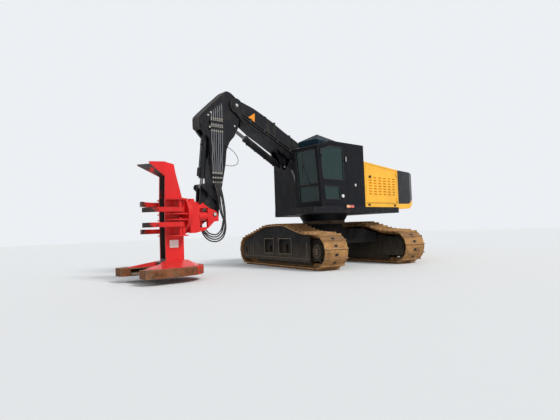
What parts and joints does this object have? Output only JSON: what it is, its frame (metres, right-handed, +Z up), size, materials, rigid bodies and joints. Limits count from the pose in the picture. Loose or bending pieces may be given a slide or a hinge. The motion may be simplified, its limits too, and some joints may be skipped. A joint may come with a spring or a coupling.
{
  "type": "tracked feller buncher with disc-saw felling head",
  "caption": "Tracked forestry machine: swinging upper works with cab, hinged boom and stick, and a tilting disc-saw felling head with gathering arms.",
  "frame": {"origin": "on the ground below the middle of the machine's box", "axes": "+X the way the boom points, +Y the cab's side, +Z up"},
  "size_m": [9.49, 5.4715, 4.6],
  "materials": {
    "undercarriage_black": "dusty matt black",
    "track_steel": "rusty, worn grousers",
    "roller_steel": "dark oily steel",
    "frame_black": "satin black",
    "cab_black": "satin black",
    "tinted_glass": "dark green tint",
    "seat_fabric": "woven",
    "hood_yellow": "semi-gloss yellow",
    "engine_grey": "rough",
    "lamp_lens": "clear",
    "boom_black": "satin black, dusty",
    "pipe_black": "satin",
    "chrome_rod": "polished",
    "hose_rubber": "dull rubber",
    "head_red": "gloss red, scuffed",
    "head_rust": "worn to rust",
    "saw_steel": "stained steel",
    "arm_red": "worn red"
  },
  "bodies": {
    "undercarriage": {"carbody": "undercarriage_black", "track_frame_left": "undercarriage_black", "track_frame_right": "undercarriage_black", "track_left": "track_steel", "track_right": "track_steel", "track_rollers": "roller_steel", "idlers": "roller_steel", "sprockets": "roller_steel", "final_drives": "undercarriage_black", "slewing_ring": "roller_steel"},
    "upper_works": {"turntable": "frame_black", "cab_shell": "cab_black", "cab_glass": "tinted_glass", "operator_seat": "seat_fabric", "roof_window": "tinted_glass", "side_house": "frame_black", "engine_hood": "hood_yellow", "engine_block": "engine_grey", "counterweight": "hood_yellow"},
    "cab_door": {"cab_door": "cab_black", "cab_door_glass": "tinted_glass", "door_lamp": "lamp_lens"},
    "engine_door": {"engine_door": "hood_yellow"},
    "boom": {"boom": "boom_black", "boom_pipes": "pipe_black"},
    "boom_barrels": {"boom_cylinder_barrels": "boom_black"},
    "boom_rods": {"boom_cylinder_rods": "chrome_rod"},
    "stick_barrel": {"stick_cylinder_barrel": "boom_black"},
    "stick_rod": {"stick_cylinder_rod": "chrome_rod"},
    "stick": {"stick": "boom_black", "stick_hoses": "hose_rubber"},
    "tilt_barrel": {"tilt_cylinder_barrel": "boom_black"},
    "tilt_rod": {"tilt_cylinder_rod": "chrome_rod"},
    "idler_links": {"idler_links": "boom_black"},
    "power_link": {"power_link": "boom_black"},
    "wrist": {"wrist_bracket": "head_red"},
    "head": {"saw_housing": "head_rust", "head_tower": "head_red", "head_horn": "head_red"},
    "saw": {"saw_disc": "saw_steel"},
    "upper_arm_left": {"upper_arm_left": "arm_red"},
    "upper_arm_right": {"upper_arm_right": "arm_red"},
    "lower_arm_left": {"lower_arm_left": "arm_red"},
    "lower_arm_right": {"lower_arm_right": "arm_red"}
  },
  "joints": [
    {"name": "swing", "type": "hinge", "parent": "undercarriage", "child": "upper_works", "pos_m": [-1.495, 0, 1.28], "axis": [0, 0, 1], "continuous": true},
    {"name": "boom_lift", "type": "hinge", "parent": "upper_works", "child": "boom", "pos_m": [-1.345, 0, 2.55], "axis": [0, -1, 0], "range_deg": [-33, 33]},
    {"name": "stick_reach", "type": "hinge", "parent": "boom", "child": "stick", "pos_m": [1.896, 0, 4.28], "axis": [0, 1, 0], "range_deg": [-60, 30]},
    {"name": "head_tilt", "type": "hinge", "parent": "stick", "child": "wrist", "pos_m": [2.685, 0, 1.49], "axis": [0, -1, 0], "range_deg": [-75, 22]},
    {"name": "head_roll", "type": "hinge", "parent": "wrist", "child": "head", "pos_m": [3.425, 0, 1.5], "axis": [1, 0, 0], "range_deg": [-20, 20]},
    {"name": "saw_spin", "type": "hinge", "parent": "head", "child": "saw", "pos_m": [3.905, 0, 0.2], "axis": [0, 0, 1], "continuous": true},
    {"name": "upper_arm_left_swing", "type": "hinge", "parent": "head", "child": "upper_arm_left", "pos_m": [3.675, 0.33, 1.6], "axis": [0, 0, 1], "range_deg": [0, 85]},
    {"name": "upper_arm_right_swing", "type": "hinge", "parent": "head", "child": "upper_arm_right", "pos_m": [3.675, -0.33, 1.74], "axis": [0, 0, -1], "range_deg": [0, 85]},
    {"name": "lower_arm_left_swing", "type": "hinge", "parent": "head", "child": "lower_arm_left", "pos_m": [3.675, 0.33, 1.27], "axis": [0, 0, 1], "range_deg": [0, 85]},
    {"name": "lower_arm_right_swing", "type": "hinge", "parent": "head", "child": "lower_arm_right", "pos_m": [3.675, -0.33, 1.12], "axis": [0, 0, -1], "range_deg": [0, 85]},
    {"name": "cab_door_swing", "type": "hinge", "parent": "upper_works", "child": "cab_door", "pos_m": [0.1758, 1.488, 2.4], "axis": [-0.0853, 0, -0.9964], "range_deg": [0, 90]},
    {"name": "engine_door_swing", "type": "hinge", "parent": "upper_works", "child": "engine_door", "pos_m": [-3.271, 1.503, 2.2], "axis": [0, 0, 1], "range_deg": [0, 100]},
    {"name": "boom_barrel_turn", "type": "hinge", "parent": "upper_works", "child": "boom_barrels", "pos_m": [-1.075, 0, 1.745], "axis": [0, -1, 0], "range_deg": [-18.26, 18.26]},
    {"name": "boom_rod_slide", "type": "slide", "parent": "boom_barrels", "child": "boom_rods", "axis": [0.3961, 0, 0.9182], "range_m": [-0.326, 0.326]},
    {"name": "stick_barrel_turn", "type": "hinge", "parent": "boom", "child": "stick_barrel", "pos_m": [0.219, 0, 2.819], "axis": [0, -1, 0], "range_deg": [-1.5, 0.85]},
    {"name": "stick_rod_slide", "type": "slide", "parent": "stick_barrel", "child": "stick_rod", "axis": [0.8811, 0, 0.473], "range_m": [-0.268, 0.535]},
    {"name": "tilt_barrel_turn", "type": "hinge", "parent": "stick", "child": "tilt_barrel", "pos_m": [2.717, 0, 3.628], "axis": [0, -1, 0], "range_deg": [-1.33, 4.07]},
    {"name": "tilt_rod_slide", "type": "slide", "parent": "tilt_barrel", "child": "tilt_rod", "axis": [0.1182, 0, -0.993], "range_m": [-0.126, 0.426]},
    {"name": "idler_link_turn", "type": "hinge", "parent": "stick", "child": "idler_links", "pos_m": [2.55, 0, 1.85], "axis": [0, -1, 0], "range_deg": [-55.79, 16.51]},
    {"name": "power_link_turn", "type": "hinge", "parent": "wrist", "child": "power_link", "pos_m": [2.925, 0, 1.74], "axis": [0, -1, 0], "range_deg": [-21.08, 71.39]}
  ],
  "couplings": [
    {"joint": "upper_arm_right_swing", "follows": "upper_arm_left_swing", "ratio": 1},
    {"joint": "lower_arm_right_swing", "follows": "lower_arm_left_swing", "ratio": 1},
    {"joint": "boom_barrel_turn", "follows": "boom_lift", "ratio": 0.5472},
    {"joint": "boom_rod_slide", "follows": "boom_lift", "m_per_rad": 0.5617},
    {"joint": "stick_barrel_turn", "follows": "stick_reach", "ratio": 0.0216},
    {"joint": "stick_rod_slide", "follows": "stick_reach", "m_per_rad": -0.5088},
    {"joint": "tilt_barrel_turn", "follows": "head_tilt", "ratio": -0.0516},
    {"joint": "tilt_rod_slide", "follows": "head_tilt", "m_per_rad": -0.3237},
    {"joint": "idler_link_turn", "follows": "head_tilt", "ratio": 0.7412},
    {"joint": "power_link_turn", "follows": "head_tilt", "ratio": -0.9492}
  ]
}
